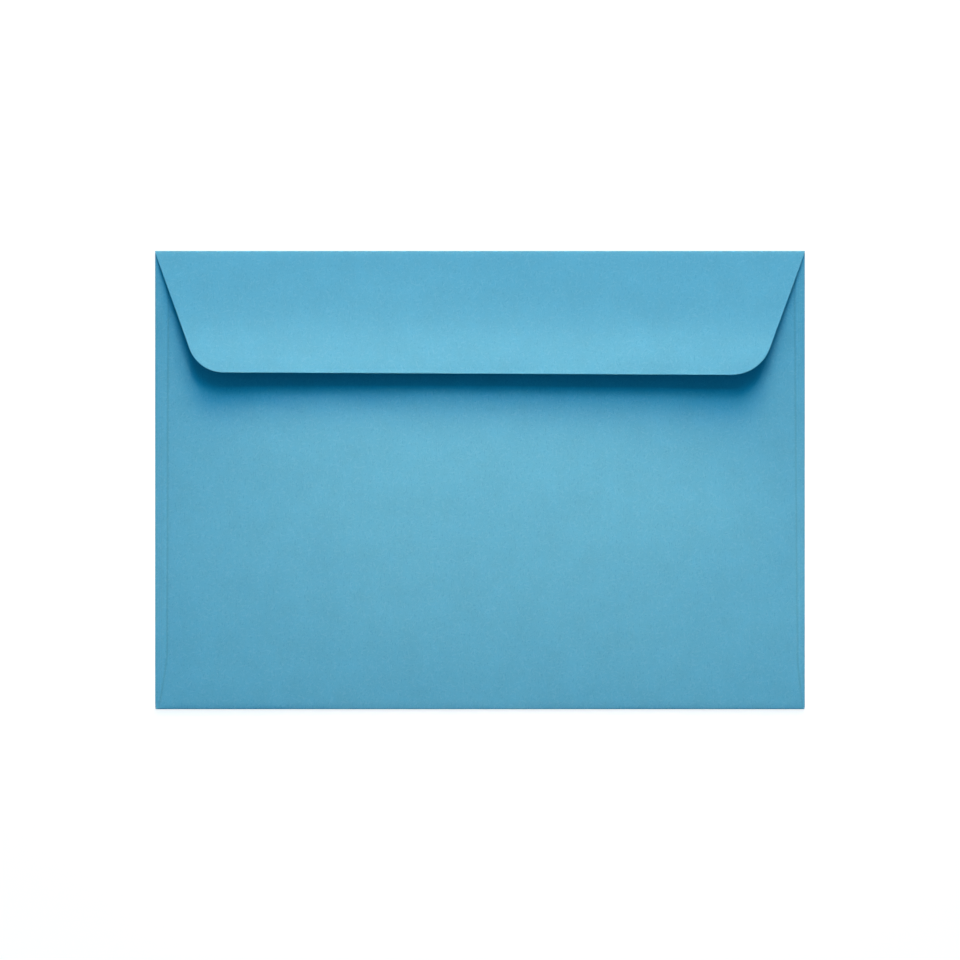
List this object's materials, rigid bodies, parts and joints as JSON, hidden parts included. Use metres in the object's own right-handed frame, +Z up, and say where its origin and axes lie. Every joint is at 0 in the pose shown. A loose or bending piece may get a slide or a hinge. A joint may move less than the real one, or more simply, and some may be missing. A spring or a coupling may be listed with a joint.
{
  "type": "paper envelope",
  "caption": "Folded paper envelope with glued side seams, an open throat and a seal flap that stands a little up.",
  "frame": {"origin": "on the table, under the middle of the front panel", "axes": "+X right along the long side and +Y towards the seal flap's fold, as seen on the back; +Z up, out of the back"},
  "size_m": [0.162, 0.1142, 0.0053],
  "materials": {
    "paper": "matt uncoated blue paper"
  },
  "bodies": {
    "root": {"envelope": "paper"}
  },
  "joints": []
}
